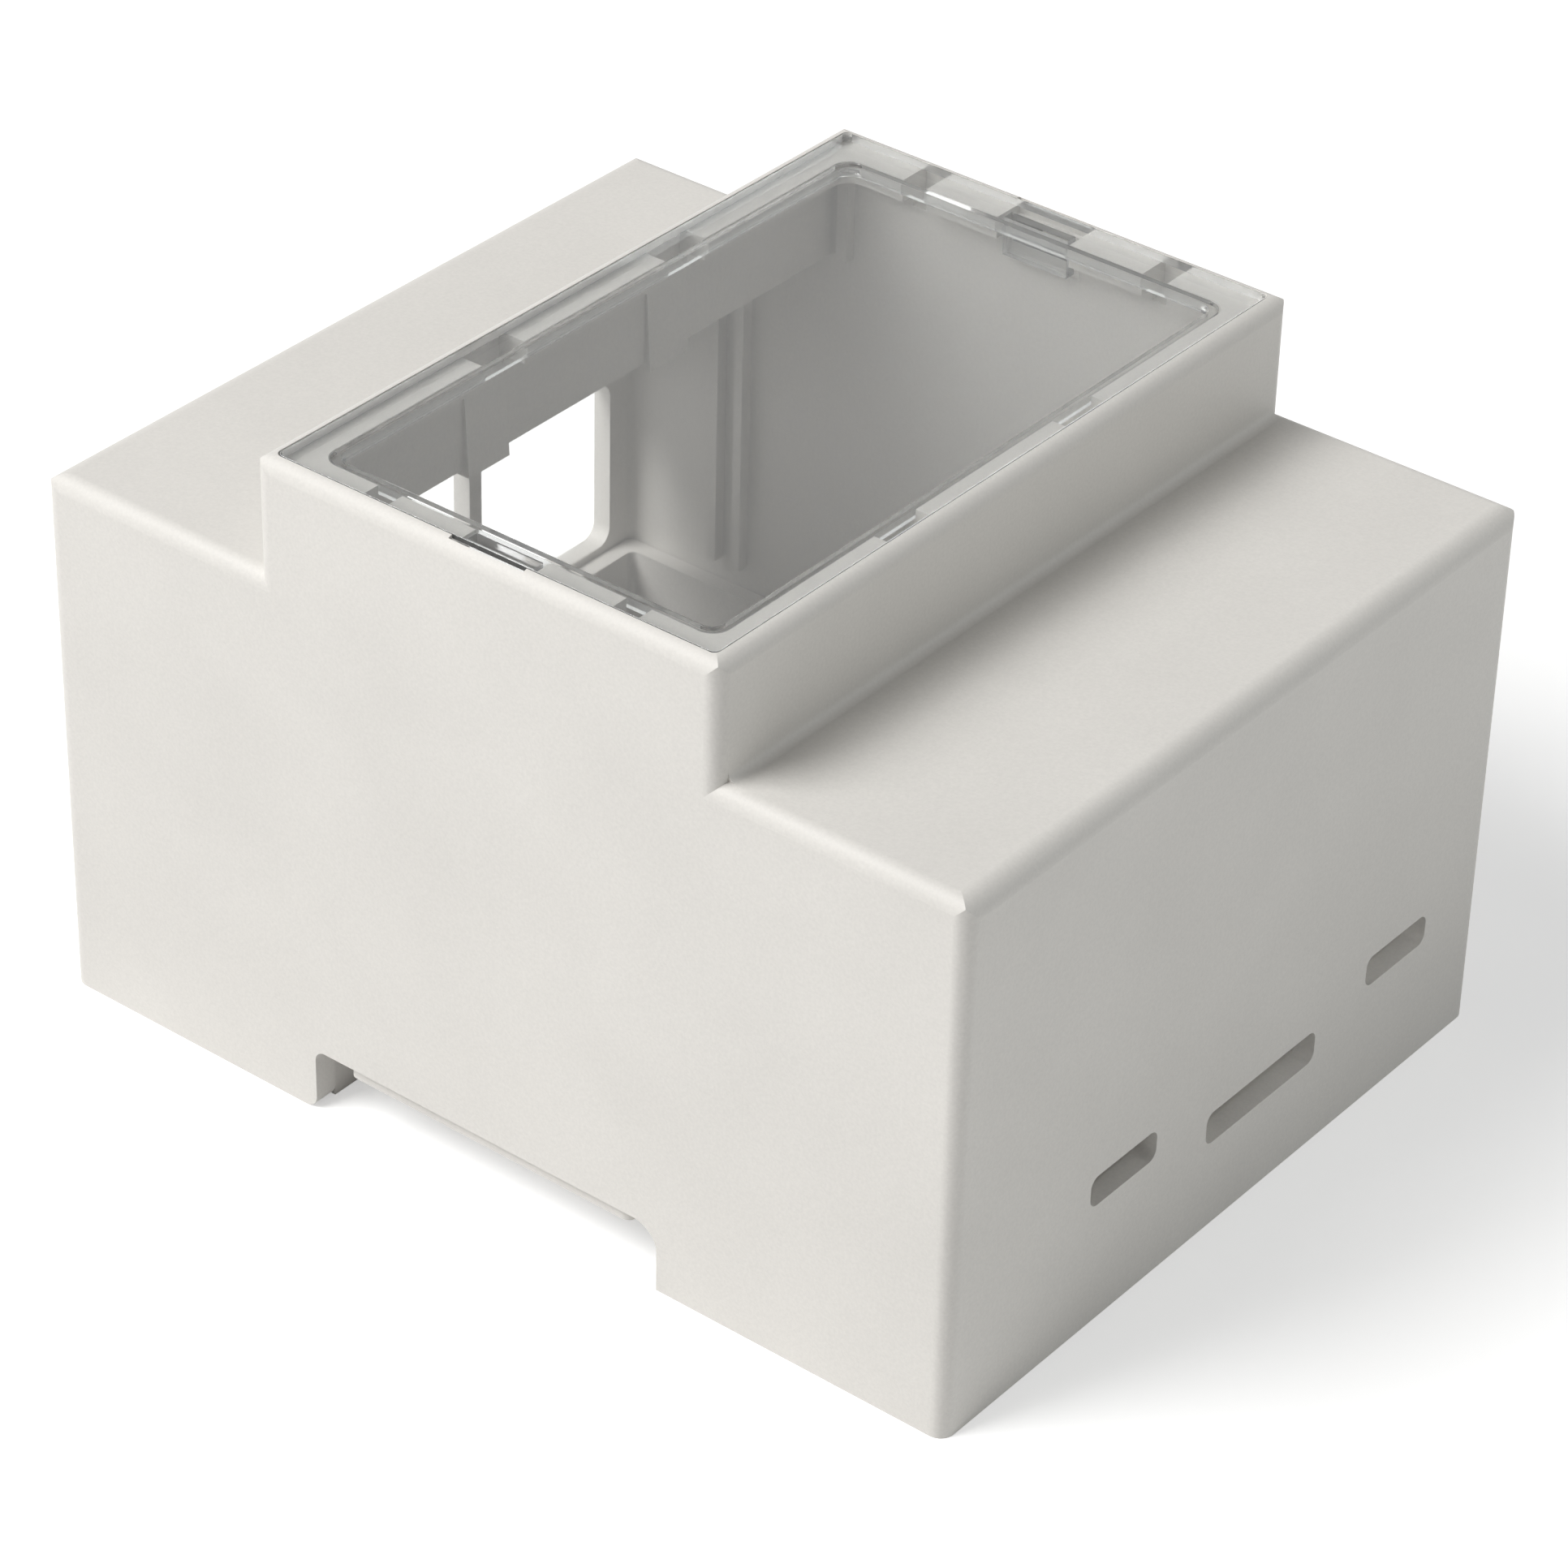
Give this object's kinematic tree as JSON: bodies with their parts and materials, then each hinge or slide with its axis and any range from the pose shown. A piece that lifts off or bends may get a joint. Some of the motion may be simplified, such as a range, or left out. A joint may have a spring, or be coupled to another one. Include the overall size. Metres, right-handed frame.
{
  "type": "din rail enclosure",
  "caption": "Stepped plastic housing for a circuit board on a 35 mm mounting rail, with a clear window lid in the raised middle, a snap-in base and sliding rail clips.",
  "frame": {"origin": "middle of the underside of the housing", "axes": "+X across the rail, towards the wall with the card slot; +Y along the rail; +Z away from the rail, towards the window lid"},
  "size_m": [0.09, 0.071, 0.059],
  "materials": {
    "housing": "fine matte texture, warm light grey",
    "base": "fine matte texture, warm light grey",
    "window_lid": "clear, polished",
    "rail_clip": "fine matte texture, warm light grey"
  },
  "bodies": {
    "enclosure": {"housing": "housing", "base": "base"},
    "lid": {"window_lid": "window_lid"},
    "clip_1": {"rail_clip_1": "rail_clip"},
    "clip_2": {"rail_clip_2": "rail_clip"}
  },
  "joints": [
    {"name": "lid_lift_off", "type": "slide", "parent": "enclosure", "child": "lid", "axis": [0, 0, 1], "range_m": [0, 0.012]},
    {"name": "clip_1_slide", "type": "slide", "parent": "enclosure", "child": "clip_1", "axis": [-1, 0, 0], "range_m": [0, 0.003], "stiffness_N_per_m": 600},
    {"name": "clip_2_slide", "type": "slide", "parent": "enclosure", "child": "clip_2", "axis": [-1, 0, 0], "range_m": [0, 0.003], "stiffness_N_per_m": 600}
  ]
}
